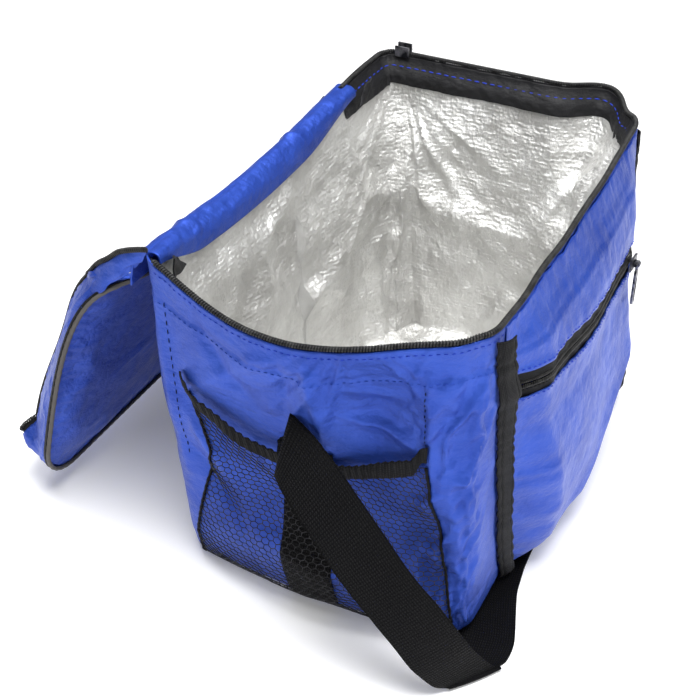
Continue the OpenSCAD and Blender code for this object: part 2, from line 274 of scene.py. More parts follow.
# main folds of the near end: (y, z) of both ends, width, height
NEAR_FOLDS = [
    ((-0.010, 0.250), (-0.016, 0.170), 0.007, 0.0075),
    ((0.086, 0.170), (0.020, 0.245), 0.012, 0.0045),
    ((0.070, 0.238), (0.030, 0.180), 0.009, -0.0045),
    ((0.006, 0.236), (0.012, 0.182), 0.007, -0.0045),
    ((-0.048, 0.235), (-0.052, 0.150), 0.026, -0.0135),
    ((-0.084, 0.256), (-0.088, 0.120), 0.0060, 0.0055),
    ((-0.026, 0.196), (-0.076, 0.172), 0.006, 0.0050),
    ((-0.030, 0.225), (-0.070, 0.215), 0.005, 0.0035),
    ((0.094, 0.150), (0.060, 0.092), 0.010, 0.0060),
    ((0.100, 0.120), (0.050, 0.060), 0.008, -0.0040),
    ((0.108, 0.230), (0.100, 0.090), 0.009, 0.0050),
    ((0.060, 0.150), (0.000, 0.110), 0.007, 0.0030),
    ((0.050, 0.060), (-0.050, 0.040), 0.010, 0.0036),
    ((0.020, 0.100), (-0.060, 0.070), 0.009, -0.0036),
]


def wall(s, z, out=0.0, folds=1.0, lift=True, soft=0.0):
    """Points on the body's outer face, or out metres outside it.

    folds scales its creases, lift lets the strap raise its foot, and soft rounds
    the corners more."""
    s, z = np.broadcast_arrays(np.asarray(s, float), np.asarray(z, float))
    step = 0.003
    p = outline(s, z, soft)
    t = outline(s + step, z, soft) - outline(s - step, z, soft)
    t = unit(t)
    n = stack([t[..., 1], -t[..., 0]], -1)
    off = bow(s, z) + out
    if np.any(folds):
        off = off + folds*cloth_folds(s, z)
    # the foot of the wall rolls under
    roll = 0.009
    u = clip(1 - z/roll, 0, 1)
    off = off - roll*(1 - np.sqrt(np.maximum(0, 1 - u*u)))
    xy = p + n*off[..., None]
    up = z - sag(s, z)
    if lift:
        up = up + on_strap(xy[..., 1])*(1 - smooth(0.004, 0.03, z))
    return concatenate([xy, up[..., None]], -1)


def on_strap(y):
    """How far the base is lifted by the strap that runs under its front edge."""
    return 0.0027*(1 - smooth(-0.088, -0.076, y))


def s_front(x):
    return S_CORNER[1] + (x + HX)


# ---- meshes ----

def add_mesh(name, verts, faces, material, uv=None):
    mesh = bpy.data.meshes.new(name)
    mesh.from_pydata(np.asarray(verts).reshape(-1, 3).tolist(), [], faces)
    if uv is not None:
        layer = mesh.uv_layers.new(name="cloth")
        index = np.zeros(len(mesh.loops), np.int32)
        mesh.loops.foreach_get("vertex_index", index)
        layer.data.foreach_set("uv", np.asarray(uv).reshape(-1, 2)[index].ravel())
    mesh.polygons.foreach_set("use_smooth", [True]*len(mesh.polygons))
    mesh.materials.append(material)
    mesh.update()
    obj = bpy.data.objects.new(name, mesh)
    bpy.context.scene.collection.objects.link(obj)
    return obj


def grid_faces(nu, nv, closed=False):
    i, j = np.meshgrid(np.arange(nu if closed else nu - 1), np.arange(nv - 1),
                       indexing="ij")
    a = i*nv + j
    b = ((i + 1) % nu)*nv + j
    return stack([a, b, b + 1, a + 1], -1).reshape(-1, 4).tolist()


def lengths_uv(p):
    """UV in metres, measured along both directions of a grid."""
    du = np.linalg.norm(np.diff(p, axis=0), axis=-1).mean(1)
    dv = np.linalg.norm(np.diff(p, axis=1), axis=-1).mean(0)
    u = concatenate([[0], np.cumsum(du)])
    v = concatenate([[0], np.cumsum(dv)])
    return stack(np.meshgrid(u, v, indexing="ij"), -1)


def cloth(name, p, material, thick=0.0, closed=False, offset=-1.0, uv=None):
    """A sheet from a grid of points, thickened by a modifier."""
    uv = lengths_uv(p) if uv is None else uv
    obj = add_mesh(name, p, grid_faces(*p.shape[:2], closed), material, uv)
    if thick:
        m = obj.modifiers.new("thickness", "SOLIDIFY")
        m.thickness, m.offset = thick, offset
    return obj


def frames(line, up):
    """Unit tangent, side and up vectors along a line."""
    t = unit(np.gradient(line, axis=0))
    side_v = unit(np.cross(t, np.broadcast_to(up, line.shape)))
    return t, side_v, np.cross(side_v, t)


def respace(line, count=None, step=None):
    d = along(line)
    count = count or max(3, int(round(d[-1]/step)) + 1)
    at = linspace(0, d[-1], count)
    return stack([np.interp(at, d, line[:, k]) for k in range(line.shape[1])], 1)


def smooth_line(points, count):
    """A smooth line through a few points, as numbers of any width."""
    p = np.asarray(points, float)
    at = linspace(0, len(p) - 1, count)
    i = clip(at.astype(int), 0, len(p) - 2)
    t = (at - i)[:, None]
    m = np.gradient(p, axis=0)
    h = [2*t**3 - 3*t**2 + 1, t**3 - 2*t**2 + t, -2*t**3 + 3*t**2, t**3 - t**2]
    return h[0]*p[i] + h[1]*m[i] + h[2]*p[i + 1] + h[3]*m[i + 1]


def tube(line, radius, up, sides=6):
    """Vertices and faces of a tube along a line, closed at both ends."""
    n = len(line)
    _, b, c = frames(line, up)
    a = np.arange(sides)*2*pi/sides
    r = np.broadcast_to(radius, (n,))[:, None, None]
    v = (line[:, None] + r*(cos(a)[None, :, None]*b[:, None]
                            + sin(a)[None, :, None]*c[:, None]))
    i, j = np.meshgrid(np.arange(n - 1), np.arange(sides), indexing="ij")
    q = stack([i*sides + j, (i + 1)*sides + j, (i + 1)*sides + (j + 1) % sides,
                  i*sides + (j + 1) % sides], -1).reshape(-1, 4).tolist()
    q += [list(range(sides)), list(range((n - 1)*sides, n*sides))[::-1]]
    return v.reshape(-1, 3), q


def rod(name, line, radius, up, material, sides=6):
    return add_mesh(name, *tube(line, radius, up, sides), material)


def join_parts(name, parts, material):
    verts, faces, first = [], [], 0
    for v, f in parts:
        verts.append(v)
        faces += [[k + first for k in face] for face in f]
        first += len(v)
    return add_mesh(name, concatenate(verts), faces, material)


def coil(name, line, up, material, pitch=0.0015, width=0.0028, height=0.0026,
         wire=0.00052):
    """The nylon coil of a zipper: one wire wound along a line."""
    line = respace(line, step=pitch/9)
    t, b, c = frames(line, up if np.ndim(up) == 1 else
                     respace(np.asarray(up, float), count=len(line)))
    phase = np.arange(len(line))*2*pi/9
    core = (line + b*(width/2 - wire)*cos(phase)[:, None]
            + c*(height/2 - wire)*sin(phase)[:, None])
    radial = b*cos(phase)[:, None] + c*sin(phase)[:, None]
    return rod(name, core, wire, radial, material, 5)


def stitches(name, line, material, stitch=0.0027, gap=0.0017, radius=0.00038,
             up=(0, 0, 1), body="bag", slot="outer_fabric"):
    """A row of thread stitches that dip into the cloth at both ends."""
    step = 0.0003
    line = respace(line, step=step)
    t, _, c = frames(line, up)
    per, used = int(round((stitch + gap)/step)), int(round(stitch/step))
    parts = []
    for k in range(0, len(line) - used - 1, per):
        seg = line[k:k + used + 1:2]
        taper = sin(linspace(0.35, pi - 0.35, len(seg)))
        parts.append(tube(seg, radius*taper, t[k] + c[k], 5))
    attach(join_parts(name, parts, material), body, slot)


def attach(obj, body, slot, *nodes):
    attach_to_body(obj, body)
    if nodes:
        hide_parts(*nodes)
    return obj


# ---- materials ----

def add_node(tree, kind, inputs=None, **props):
    """Adds a node, with its properties, and values or sockets for its inputs."""
    n = tree.nodes.new(kind)
    for key, value in props.items():
        setattr(n, key, value)
    for key, value in (inputs or {}).items():
        if isinstance(value, bpy.types.NodeSocket):
            tree.links.new(value, n.inputs[key])
        else:
            n.inputs[key].default_value = value
    return n


class Shader:
    """A material being made, from a Principled BSDF."""

    def __init__(self, name, colour, rough, **sockets):
        self.m = bpy.data.materials.new(name)
        self.m.use_nodes = True
        self.t = self.m.node_tree
        self.p = self.t.nodes["Principled BSDF"]
        self.p.inputs["Base Color"].default_value = (*colour, 1)
        self.p.inputs["Roughness"].default_value = rough
        for key, value in sockets.items():
            self.p.inputs[key.replace("_", " ")].default_value = value
        coord = self.node("ShaderNodeTexCoord")
        self.uv, self.obj = coord.outputs["UV"], coord.outputs["Object"]

    def node(self, kind, inputs=None, **props):
        return add_node(self.t, kind, inputs, **props)

    def wave(self, period, direction="X", distortion=0.0):
        return self.node("ShaderNodeTexWave", {
            "Vector": self.uv, "Scale": 0.314159/period,
            "Distortion": distortion}, bands_direction=direction).outputs["Fac"]

    def cells(self, scale, feature="F1"):
        return self.node("ShaderNodeTexVoronoi", {"Vector": self.obj, "Scale": scale},
                         feature=feature).outputs["Distance"]

    def noise(self, size, detail=3.0, at=None, rough=0.5):
        return self.node("ShaderNodeTexNoise", {
            "Vector": at or self.obj, "Scale": 1/size, "Detail": detail,
            "Roughness": rough}).outputs["Fac"]

    def stretch(self, scale, at=None):
        return self.node("ShaderNodeMapping", {
            "Vector": at or self.uv, "Scale": scale}).outputs["Vector"]

    def math(self, op, a, b):
        return self.node("ShaderNodeMath", {0: a, 1: b}, operation=op).outputs[0]

    def mix(self, fac, a, b):
        return self.node("ShaderNodeMix", {0: fac, 6: (*a, 1), 7: (*b, 1)},
                         data_type="RGBA").outputs[2]

    def ramp(self, fac, low, high, to_low=0.0, to_high=1.0):
        return self.node("ShaderNodeMapRange", {
            "Value": fac, "From Min": low, "From Max": high,
            "To Min": to_low, "To Max": to_high}).outputs["Result"]

    def bumps(self, *layers):
        """Layers of (height, depth in metres)."""
        normal = None
        for height, depth in layers:
            inputs = {"Height": height, "Distance": depth, "Strength": 1.0}
            if normal:
                inputs["Normal"] = normal
            normal = self.node("ShaderNodeBump", inputs).outputs["Normal"]
        self.t.links.new(normal, self.p.inputs["Normal"])

    def set(self, key, socket):
        self.t.links.new(socket, self.p.inputs[key])


def nylon(name, colour, deep, rough=0.40, satin=0.55):
    """Coated nylon taffeta: a fine plain weave with a satin gloss and creases."""
    m = Shader(name, colour, rough, Metallic=satin, Specular_IOR_Level=0.35)
    weave = m.math("MULTIPLY", m.wave(0.00050, "X"), m.wave(0.00058, "Y"))
    broad = m.noise(0.045, 4)
    crumple = m.noise(0.011, 5, m.stretch((1.0, 0.55, 1.0), m.obj), 0.55)
    fine = m.noise(0.0022, 3)
    m.set("Base Color", m.mix(m.ramp(m.math("ADD", broad, m.math(
        "MULTIPLY", weave, 0.12)), 0.35, 0.75), deep, colour))
    m.set("Roughness", m.ramp(crumple, 0.3, 0.7, rough - 0.07, rough + 0.08))
    m.bumps((crumple, 0.0022), (fine, 0.00022), (weave, 0.00006))
    return m.m


def webbing(name, colour, light, period=0.0021, depth=0.00045, rough=0.62):
    """Woven strap or ribbon: ribs across, broken by the warp threads."""
    m = Shader(name, colour, rough, Specular_IOR_Level=0.09)
    ribs = m.wave(period, "X", distortion=0.4)
    warp = m.wave(period*0.72, "Y", distortion=0.3)
    knots = m.math("MULTIPLY", ribs, warp)
    fuzz = m.noise(0.0009, 4)
    fade = m.noise(0.03, 3)
    m.set("Base Color", m.mix(m.ramp(m.math("ADD", knots, m.math(
        "MULTIPLY", fade, 0.5)), 0.30, 1.25), colour, light))
    m.set("Roughness", m.ramp(fuzz, 0.3, 0.7, rough - 0.1, rough + 0.12))
    m.bumps((knots, depth), (fuzz, depth*0.35))
    return m.m


def foil(name):
    """Aluminised film over a woven scrim, crumpled all over."""
    m = Shader(name, (0.78, 0.78, 0.77), 0.30, Metallic=0.92, Specular_IOR_Level=0.6)
    planes, facets = m.cells(27.0), m.cells(330.0)
    crinkle = m.cells(95.0, "SMOOTH_F1")
    scrim = m.wave(0.0034, "Y", distortion=2.2)
    scratch = m.noise(0.004, 6, m.stretch((1.0, 0.25, 1.0)), 0.62)
    grime = m.noise(0.05, 5)
    m.set("Base Color", m.mix(m.ramp(grime, 0.35, 0.7), (0.60, 0.595, 0.58),
                              (0.80, 0.80, 0.785)))
    m.set("Roughness", m.ramp(scratch, 0.3, 0.75, 0.42, 0.66))
    streaks = m.noise(0.0026, 3, m.stretch((0.3, 1.0, 1.0)), 0.6)
    m.bumps((planes, 0.0058), (crinkle, 0.0016), (facets, 0.0006),
            (scrim, 0.00012), (scratch, 0.0019), (streaks, 0.0007))
    return m.m


def moulded(name, colour, light, rough, metallic=0.0):
    """Moulded nylon or painted metal, rubbed along its edges."""
    m = Shader(name, colour, rough, Metallic=metallic, Specular_IOR_Level=0.3)
    speck = m.noise(0.0016, 5, rough=0.6)
    wear = m.noise(0.006, 4)
    edge = m.node("ShaderNodeNewGeometry").outputs["Pointiness"]
    m.set("Base Color", m.mix(m.math("MULTIPLY", m.ramp(edge, 0.50, 0.60),
                                     m.ramp(wear, 0.35, 0.6)), colour, light))
    m.set("Roughness", m.ramp(speck, 0.3, 0.7, rough - 0.08, rough + 0.14))
    m.bumps((speck, 0.00008), (wear, 0.00012))
    return m.m


def foamed(name):
    m = Shader(name, (0.84, 0.84, 0.80), 0.85, Sheen_Weight=0.2)
    m.set("Base Color", m.mix(m.noise(0.02), (0.72, 0.71, 0.66), (0.88, 0.88, 0.85)))
    m.bumps((m.cells(900.0), 0.0004))
    return m.m


BLUE = nylon("royal_blue_nylon", (0.034, 0.092, 0.50), (0.021, 0.060, 0.37))
THREAD = webbing("blue_thread", (0.02, 0.045, 0.40), (0.06, 0.12, 0.75), 0.0006, 0.0001)
BLACK, SOOT = (0.005, 0.005, 0.006), (0.006, 0.006, 0.007)
BLACK_THREAD = webbing("black_thread", SOOT, (0.03, 0.03, 0.03), 0.0006, 0.0001)
FOIL = foil("crinkled_foil")
FOAM = foamed("closed_cell_foam")
FACING = nylon("black_facing", (0.011, 0.011, 0.013), BLACK, 0.6, 0.0)
TAPE = webbing("zipper_tape", SOOT, (0.022, 0.022, 0.024), 0.0010, 0.00018)
COIL = moulded("zipper_coil", SOOT, (0.030, 0.030, 0.030), 0.42)
GROSGRAIN = webbing("grosgrain_binding", BLACK, (0.018, 0.018, 0.019), 0.0013, 0.00030,
                    0.55)
ELASTIC = webbing("ribbed_elastic", BLACK, (0.024, 0.024, 0.026), 0.0016, 0.00030, 0.5)
STRAP = webbing("strap_webbing", (0.0012, 0.0012, 0.0018), (0.009, 0.009, 0.0095),
                0.0024, 0.00060, 0.58)
NET = moulded("net_cord", (0.007, 0.007, 0.009), (0.04, 0.04, 0.045), 0.55)
PIPING = webbing("grey_piping", (0.105, 0.098, 0.092), (0.30, 0.28, 0.26), 0.0016,
                 0.00012, 0.38)
METAL = moulded("black_zinc", (0.020, 0.021, 0.026), (0.26, 0.26, 0.28), 0.34, 0.75)


# ---- body ----

def rings(xy, q, mid_y=0.0):
    """Rings from a closed outline inwards to a short ridge in its middle."""
    mid = pair(clip(xy[:, 0], -(HX - HY), HX - HY), mid_y)
    return xy[:, None] + (mid - xy)[:, None]*q[None, :, None]


def add_floor(p, count, height):
    """A wall's rows, with the floor's rings before them; height takes x, y and q."""
    q = linspace(0, 1, count)[1:]
    floor = rings(p[:, 0, :2], q)
    z = height(floor[..., 0], floor[..., 1], q[None, :]) + 0*floor[..., 0]
    return concatenate([concatenate([floor, z[..., None]], -1)[:, ::-1], p], 1)


def make_shell():
    s = linspace(0, ROUND, 640, endpoint=False)
    a = linspace(0, pi/2, 9)
    z = concatenate([0.009*(1 - cos(a)), linspace(0.009, 0.2605, 134)[1:]])
    back = smooth(HX - 0.002, HX - 0.012, np.minimum(s, ROUND - s))[:, None]
    low = 1 - 0.022*back*(s[:, None] < ROUND/2) - 0.022*back*(
        s[:, None] > ROUND - 0.094)
    p = wall(s[:, None], z*np.where(z > 0.02, low, 1.0))
    p = add_floor(p, 22, lambda x, y, q: on_strap(y))
    uv = pair(s[:, None], concatenate([linspace(-HY, 0, 21), z]))
    shell = cloth("outer_shell", p, BLUE, 1.1*MM, closed=True, uv=uv)
    attach(shell, "bag", "outer_fabric", "front_panel", "back_panel",
           "near_end_panel", "far_end_panel", "base_panel")


def make_foam():
    s = linspace(0, ROUND, 240, endpoint=False)
    back = 1 - smooth(0.0, 0.012, np.minimum(np.abs(s), ROUND - np.abs(s)) - HX + 0.018)
    top = FACING_Z + (0.250 - FACING_Z)*back
    v = linspace(0, 1, 40)
    z = 0.010 + (top[:, None] - 0.010)*v
    p = wall(s[:, None], z, -3.95*MM)
    p = add_floor(p, 14, lambda x, y, q: 0.0048)
    foam = cloth("foam_core", p, FOAM, 3.2*MM, closed=True, offset=0.0)
    attach(foam, "bag", "foam", "foam_front", "foam_back", "foam_near", "foam_far",
           "foam_base")


def foil_crumple(u, v, seed):
    """Fine crumples of the foil, plus and minus, in metres."""
    return (0.0007*(ridges(u*55, v*45, seed) - 0.5)
            + 0.0005*fbm(u*150, v*190, seed + 7, 3)
            + 0.0005*sin(2*pi*(v + 0.003*noise(u*40, v*30, seed))/0.0048)
            * 0.5*smooth(0.0, 0.6, noise(u*9, v*9, seed + 3)))


def make_foil():
    s = linspace(0, ROUND, 560, endpoint=False)
    back = np.where(s < ROUND/2, 1 - smooth(HX - 0.012, HX + 0.002, s),
                    smooth(ROUND - 0.099, ROUND - 0.089, s))
    low = FACING_Z + 0.0115 + 0.0012*noise(s*45, 0, 58)
    top = low + (0.254 - low)*back
    v = linspace(0, 1, 118)
    foot = 0.017
    z = foot + (top[:, None] - foot)*v
    depth = (top[:, None] - z)
    ss = s[:, None] + 0*v
    loose = smooth(0.0, 0.05, depth)
    inward = loose*(0.006 + 0.006*fbm(ss*8, z*7, 51)
                    + 0.0085*ridges(ss*7 + z*5, z*8 - ss*3, 55))
    for corner, w in zip(S_CORNER, (0.034, 0.040, 0.060, 0.046)):
        inward = inward + 0.016*loose*bell(ss, corner, w)*smooth(0.0, 0.10, depth)
    fan = np.arctan2(z - 0.24, ss - S_CORNER[3] + 0.02)
    inward = inward + 0.006*loose*smooth(0.14, 0.03, np.abs(ss - S_CORNER[3]))*(
        ridges(fan*2.6, depth*3, 59) - 0.3)
    out = -(FOIL_IN + 0.0002 + inward) + foil_crumple(ss, z, 61)*(0.4 + 0.6*loose)
    p = wall(ss, z, np.minimum(out, -FOIL_IN), folds=smooth(0.26, 0.20, z), lift=False,
             soft=0.004 + 0.030*loose)

    def crumpled(x, y, q):
        """The walls turn in to the floor, which is one crumpled sheet."""
        return np.maximum(0.0078, 0.0085 + 0.012*exp(-q/0.10)
                          + 0.006*ridges(x*11 + y*4, y*13 - x*3, 71)*smooth(0, 0.2, q)
                          + 0.004*(1 + fbm(x*16, y*16, 75))*0.5
                          + foil_crumple(x + 3, y + 3, 81) + 0.001)

    p = add_floor(p, 62, crumpled)
    uv = pair(s[:, None], concatenate([linspace(-HY, 0, 61),
                                          v*(WALL_TOP - foot)]))
    lining = cloth("foil_lining", p, FOIL, 0.35*MM, closed=True, uv=uv)
    attach(lining, "bag", "foil", "foil_liner")


def rim_s(margin=0.0):
    """The stretch of s that the rim's zipper covers."""
    return HX + (HY - TRACK_Y) + margin, ROUND - RIM_FAR_END - margin


def make_rim():
    a, b = rim_s(-0.006)
    s = linspace(a, b, 420)
    v = linspace(0, 1, 22)
    low = FACING_Z + 0.008 - 0.0012*(1 + noise(s*40, 0, 91))[:, None]
    z = low + (WALL_TOP + 0.0015 - low)*v
    wave = 0.0009*noise(s[:, None]*45, z*20, 93)*(1 - v) \
        + 0.0005*sin(2*pi*s[:, None]/0.013)*bell(v, 0.2, 0.1)
    p = wall(s[:, None], z, -(0.0092 - 0.0065*smooth(0.25, 1.0, v)) - wave)
    facing = cloth("rim_facing_band", p, FACING, 0.9*MM, offset=1)
    attach(facing, "bag", "black_binding", "rim_facing")
    stitches("facing_topstitch", wall(s, WALL_TOP - 0.0062, -0.0056), THREAD, 0.0044,
             0.0022, 0.00055)

    a, b = rim_s()
    s = linspace(a, b, 700)
    z = linspace(COIL_Z - 0.012, COIL_Z + 0.0004, 8)
    tape = cloth("rim_tape", wall(s[:, None], z, -0.0021), TAPE,
                 0.7*MM, offset=0)
    attach(tape, "bag", "zip_tape", "rim_zip_tape")
    line = wall(s, COIL_Z + COIL_H/2, -0.0012, folds=0)
    attach(coil("rim_coil", line, (0, 0, 1), COIL, 0.0019, 0.0044, COIL_H + 0.0010,
                0.00068), "bag", "zip_coil", "rim_zip_coil")
    core = rod("rim_coil_cord", respace(line, step=0.002), 0.0012, (0, 0, 1), TAPE)
    attach(core, "bag", "zip_tape")
    # the hem's two rows of stitches, under the coil and along the facing's edge
    for k, (dz, colour) in enumerate(((0.0035, THREAD), (0.0265, BLUE))):
        stitches(f"hem_stitch_{k}", wall(s, WALL_TOP - dz, 0.0001), colour)


def make_end_tabs():
    """Folded fabric over the zipper's two ends, inside the back corners."""
    u, v = np.meshgrid(linspace(0, 1, 26), linspace(0, 1, 22), indexing="ij")
    for name, sign, x, z, inward in (
            ("near", -1, -HX + 0.0095, 0.2400, 0.0045*(1 - u)**2),
            ("far", 1, 0.121, 0.2455, 0.0030)):
        x = x - sign*0.020*u*(1 - 0.45*v)
        y = HY - 0.0105 - inward + 0.0008*sin(6*u + 4*v)
        z = z + 0.0175*v - 0.006*u*v + 0.0008*sin(9*u + 3*v)
        tab = cloth(f"end_tab_{name}", stack([x, y, z], -1), FACING, 1.4*MM,
                    offset=0)
        tab.modifiers.new("round", "SUBSURF").render_levels = 1
        attach(tab, "bag", "black_binding", f"zip_end_tab_{name}")


# ---- front pocket ----

POCKET_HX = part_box("pocket_upper_panel")[1][0]
ZIP_AXIS = JOINTS["pocket_zip_travel"]["axis"]
ZIP_SLOPE = ZIP_AXIS[2]/ZIP_AXIS[0]
ZIP_MID = (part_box("pocket_tape_lower")[1][2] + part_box("pocket_tape_upper")[0][2])/2


def zip_z(x):
    """Height of the pocket zipper's middle."""
    return ZIP_MID + ZIP_SLOPE*x


def pocket_edge(z, far):
    """x of the pocket's seam at height z; the near one slants along the binding."""
    down = clip(1 - z/WALL_TOP, 0, 1)**1.25
    if far:
        return POCKET_HX + 0.003 - 0.014*down + 0*z
    return -0.1480 + 0.0540*down + 0.0006*noise(z*70, 0, 101)


def pocket_out(a, z):
    """How far the pocket stands out of the front wall: a is 0 to 1 across it."""
    full = np.interp(z, [0.003, 0.009, 0.034, 0.070, 0.106, 0.138, 0.158, 0.215, 0.232,
                         0.246, 0.260],
                     [0.0050, 0.0115, 0.0240, 0.0278, 0.0278, 0.0232, 0.0190, 0.0180,
                      0.0140, 0.0062, 0.0000])
    rise = smooth(-0.02, 0.14, a)*smooth(-0.015, 0.22, 1 - a)
    mid = 0.0040*bell(a, 0.42, 0.16)*smooth(0.24, 0.20, z)
    return 0.0012 - 0.0006*smooth(0.235, 0.258, z) + (full + mid)*rise


def pocket_point(a, z, extra=0.0, folds=True):
    x0, x1 = pocket_edge(z, False), pocket_edge(z, True)
    x = x0 + (x1 - x0)*a
    out = pocket_out(a, z) + extra
    if folds:
        out = out + pocket_folds(x, z)*smooth(0, 0.06, a)*smooth(0, 0.06, 1 - a)
    return wall(s_front(x), z, out, folds=smooth(0.215, 0.250, z))


def pocket_folds(x, z):
    below = smooth(0.004, 0.02, zip_z(x) - z)
    d = 0.0011*fbm(x*11, z*13, 111)
    for fold in (((-0.040, 0.016), (0.100, 0.112), 0.010, 0.0042),
                 ((-0.120, 0.150), (-0.060, 0.050), 0.016, 0.0024),
                 ((-0.070, 0.165), (-0.030, 0.080), 0.018, 0.0018),
                 ((0.020, 0.010), (0.120, 0.076), 0.018, -0.0030)):
        d = d + below*crease(x, z, *fold)
    near_zip = exp(-np.abs(z - zip_z(x))/0.014)
    d = d + 0.0008*near_zip*sin(2*pi*x/0.017 + 4*noise(x*20, z*20, 117))
    top = exp(-np.maximum(0, WALL_TOP - z)/0.012)
    d = d + 0.0008*top*noise(x*130, z*30, 121)
    side_pull = exp(-(x - pocket_edge(z, False))/0.022)
    d = d + 0.0015*side_pull*sin(2*pi*z/0.023 + 3*noise(z*30, x*10, 119))
    return d*(z > 0.01)


def make_pocket():
    a = linspace(0, 1, 230)[:, None]
    x = -POCKET_HX + 2*POCKET_HX*a
    band = 0.0112
    v = linspace(0, 1, 40)
    low = zip_z(x) + band
    z = low + (0.2592 - low)*v
    upper = pocket_point(a, z)
    hem = pocket_point(a, low + 0.0006, -0.0016)      # the turned edge of the cloth
    upper = concatenate([hem, upper], 1)
    attach(cloth("pocket_upper_cloth", upper, BLUE, 0.9*MM), "bag", "outer_fabric",
           "pocket_upper_panel")
    v = linspace(0, 1, 110)
    high = zip_z(x) - band
    z = 0.0035 + (high - 0.0035)*v
    lower = concatenate([pocket_point(a, z),
                            pocket_point(a, high - 0.0006, -0.0016)], 1)
    attach(cloth("pocket_lower_cloth", lower, BLUE, 0.9*MM), "bag", "outer_fabric",
           "pocket_lower_panel")
    for k, dz in enumerate((band + 0.0022, -band - 0.0022)):
        row = pocket_point(a[6:-6, 0], zip_z(x[6:-6, 0]) + dz, 0.0002)
        stitches(f"pocket_stitch_{k}", row, THREAD)

    a = linspace(0.004, 0.996, 260)
    x = -POCKET_HX + 2*POCKET_HX*a
    for name, sign in (("upper", 1), ("lower", -1)):
        w = linspace(0.0024, 0.0140, 8)*sign
        p = pocket_point(a[:, None], zip_z(x)[:, None] + w,
                         -0.0016 + 0.0003*sin(x*300)[:, None], folds=False)
        attach(cloth(f"pocket_tape_{name}_cloth", p if sign > 0 else p[:, ::-1], TAPE,
                     0.7*MM, offset=0), "bag", "zip_tape", f"pocket_tape_{name}")
        lies = -0.0010 if sign > 0 else 0.0
        line = pocket_point(a, zip_z(x) + sign*0.0019, lies - 0.0006, folds=False)
        attach(coil(f"pocket_coil_{name}_wire", line, (0, -1, 0), COIL, pitch=0.0018,
                    width=0.0034, height=0.0028, wire=0.00062), "bag", "zip_coil",
               f"pocket_coil_{name}")
    row = pocket_point(a, zip_z(x) - 0.0056, -0.0009, folds=False)
    stitches("pocket_coil_stitch", row, BLACK_THREAD, 0.0022, 0.0012, slot="zip_tape")


def make_binding(name, far):
    """A ribbed ribbon folded over the pocket's side seam, with two stitch rows."""
    z = linspace(0.003, 0.2545, 150)
    v = linspace(-1, 1, 31)
    lean, off = (0.0, 0.0030) if far else (0.45, 0.0050)
    half = 0.0066 + 0.0005*noise(z*75, 0, 121 + far)
    lump = 0.0014*bell(z, zip_z(-0.146), 0.010)
    centre = pocket_edge(z, far) + (1 if far else -1)*0.0045 \
        + 0.0009*sin(2*pi*z/0.09)
    row_at = 0.62                           # where the two rows of stitches are
    x = centre[:, None] + (half + lump)[:, None]*v
    ripple = 0.0004*sin(2*pi*z/0.013 + 5*noise(z*40, 0, 125))[:, None]
    edge = np.abs(v)**3
    turn = lean*(x - centre[:, None]) - 0.0005*bell(np.abs(v), row_at, 0.10)
    out = off + lump[:, None] + turn - 0.0014*edge + ripple*(0.3 + edge)
    held = 0.25 + 0.75*smooth(0.215, 0.250, z)
    p = wall(s_front(x), z[:, None], out, folds=held[:, None])
    attach(cloth(name + "_ribbon", p, GROSGRAIN, 1.0*MM, uv=pair(z[:, None], x)), "bag",
           "black_binding", name)
    for k, t in enumerate((-row_at, row_at)):
        row = wall(s_front(centre + half*t), z, off - 0.0003 + lump + lean*half*t,
                   folds=held)
        stitches(f"{name}_stitch_{k}", row, BLACK_THREAD, 0.0024, 0.0014, 0.00036,
                 (0, -1, 0), slot="black_binding")


# ---- end pockets ----

def net_top(a):
    """Height of the net's mouth: it sags between its two seams."""
    a = clip(a, 0, 1)
    return 0.163 - 0.004*a - 0.027*hump(a**0.9)**1.2


def net_s(a, z, far):
    """s of the end pocket's cloth; a runs 0 to 1 from the back to the front."""
    back_y = np.interp(z, [0, 0.03, 0.07, 0.12, 0.16, 0.18],
                       [0.100, 0.099, 0.088, 0.073, 0.086, 0.090])
    front_y = -0.110 + 0.026*np.minimum(z, 0.17)/0.16
    y = back_y + (front_y - back_y)*a
    if far:
        return ROUND - (HX + HY - y)
    return HX + HY - y


def net_out(a, z, far):
    full = hump(clip(a, 0, 1))**0.45
    belly = 0.0048 + 0.0018*smooth(0.10, 0.02, z) + 0.003*smooth(0.11, 0.16, z)
    d = 0.0012 + full*belly + 0.0016*noise(a*7, z*30, 131 + far)*full
    if not far:  # the strap's leg presses the mouth in
        d = d - 0.004*bell(a, 0.56, 0.10)*smooth(0.10, 0.13, z)
    return np.maximum(d*smooth(-0.004, 0.024, z), 0.0009)


